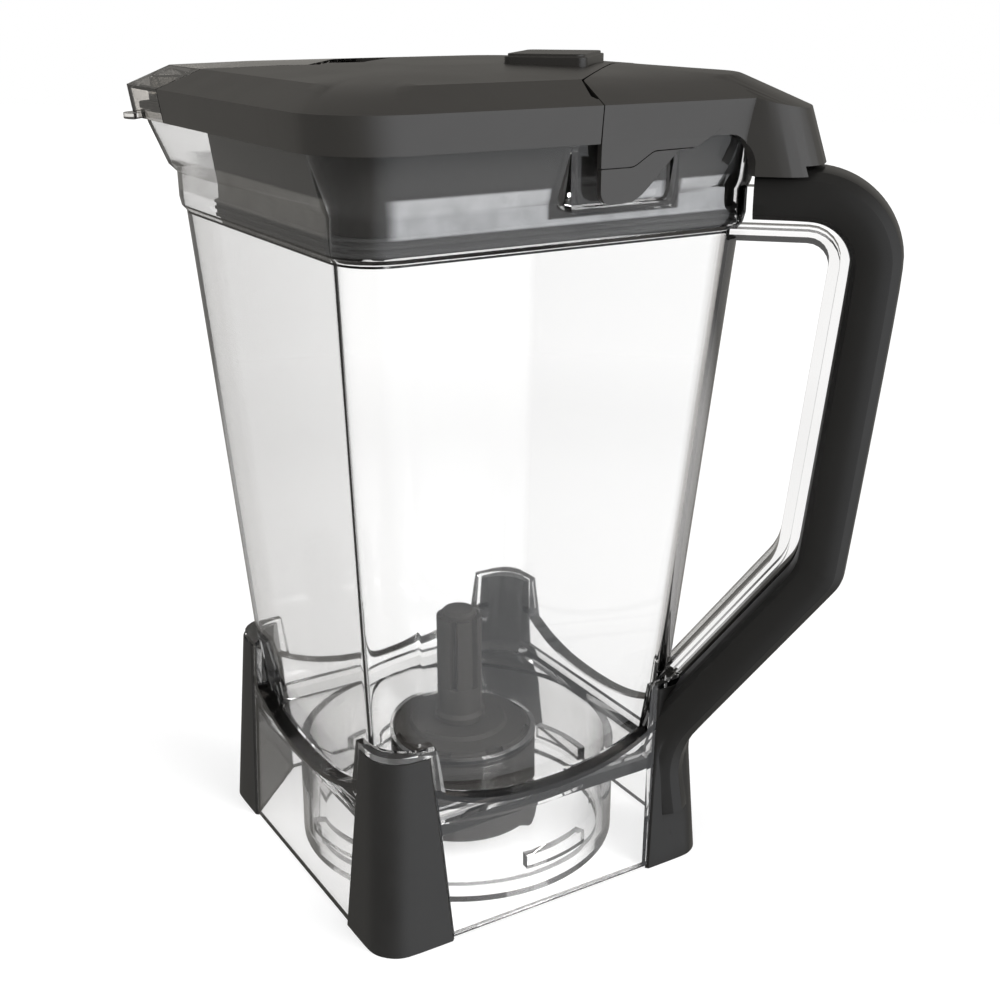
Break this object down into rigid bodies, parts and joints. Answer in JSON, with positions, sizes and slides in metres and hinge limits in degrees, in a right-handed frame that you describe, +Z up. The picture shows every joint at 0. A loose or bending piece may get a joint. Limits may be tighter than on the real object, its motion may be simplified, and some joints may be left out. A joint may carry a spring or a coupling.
{
  "type": "blender jar",
  "caption": "Square clear blender jar with a black grip, rubber feet, a drive spindle in its floor and a locking lid with a pouring flap and a lift-up lever.",
  "frame": {"origin": "on the drive axis, at the height of the surface that the jar stands on", "axes": "+Z up along the drive axis, +X toward the handle, -X toward the spout"},
  "size_m": [0.2518, 0.2022, 0.2705],
  "materials": {
    "clear_plastic": "clear gloss moulding",
    "flap_plastic": "smoked clear gloss",
    "grip_plastic": "soft satin",
    "foot_rubber": "matte",
    "lid_plastic": "fine satin",
    "hub_plastic": "satin",
    "seal_rubber": "matte",
    "sintered_bronze": "sintered, oiled",
    "steel": "turned"
  },
  "bodies": {
    "jar": {"jar_body": "clear_plastic", "handle_grip": "grip_plastic", "spout_foot": "foot_rubber", "front_foot": "foot_rubber", "back_foot": "foot_rubber", "hub_housing": "hub_plastic", "hub_cup": "hub_plastic", "hub_gasket": "seal_rubber", "hub_screws": "steel", "upper_bushing": "sintered_bronze", "lower_bushing": "sintered_bronze", "shaft_seal": "seal_rubber"},
    "drive": {"drive_shaft": "steel", "spindle": "hub_plastic", "drive_coupling": "hub_plastic", "thrust_washer": "steel", "retaining_clip": "steel"},
    "lid": {"lid_cover": "lid_plastic", "lid_plug": "lid_plastic", "lid_liner": "lid_plastic", "lid_gasket": "seal_rubber", "flap_pin": "steel", "lever_pins": "steel", "button_spring": "steel"},
    "flap": {"spout_flap": "flap_plastic", "flap_seal": "seal_rubber"},
    "lever": {"lever_cover": "lid_plastic", "latch_frame": "lid_plastic"},
    "button": {"release_button": "lid_plastic"}
  },
  "joints": [
    {"name": "drive_spin", "type": "hinge", "parent": "jar", "child": "drive", "pos_m": [0, 0, 0.03], "axis": [0, 0, 1], "continuous": true},
    {"name": "lid_lift", "type": "slide", "parent": "jar", "child": "lid", "axis": [0, 0, 1], "range_m": [0, 0.06]},
    {"name": "flap_hinge", "type": "hinge", "parent": "lid", "child": "flap", "pos_m": [-0.042, 0, 0.2615], "axis": [0, 1, 0], "range_deg": [0, 100]},
    {"name": "lever_hinge", "type": "hinge", "parent": "lid", "child": "lever", "pos_m": [0.054, 0, 0.2602], "axis": [0, -1, 0], "range_deg": [0, 60]},
    {"name": "button_press", "type": "slide", "parent": "lid", "child": "button", "axis": [0, 0, -1], "range_m": [0, 0.0024], "stiffness_N_per_m": 1500, "deforming": ["button_spring"]}
  ]
}
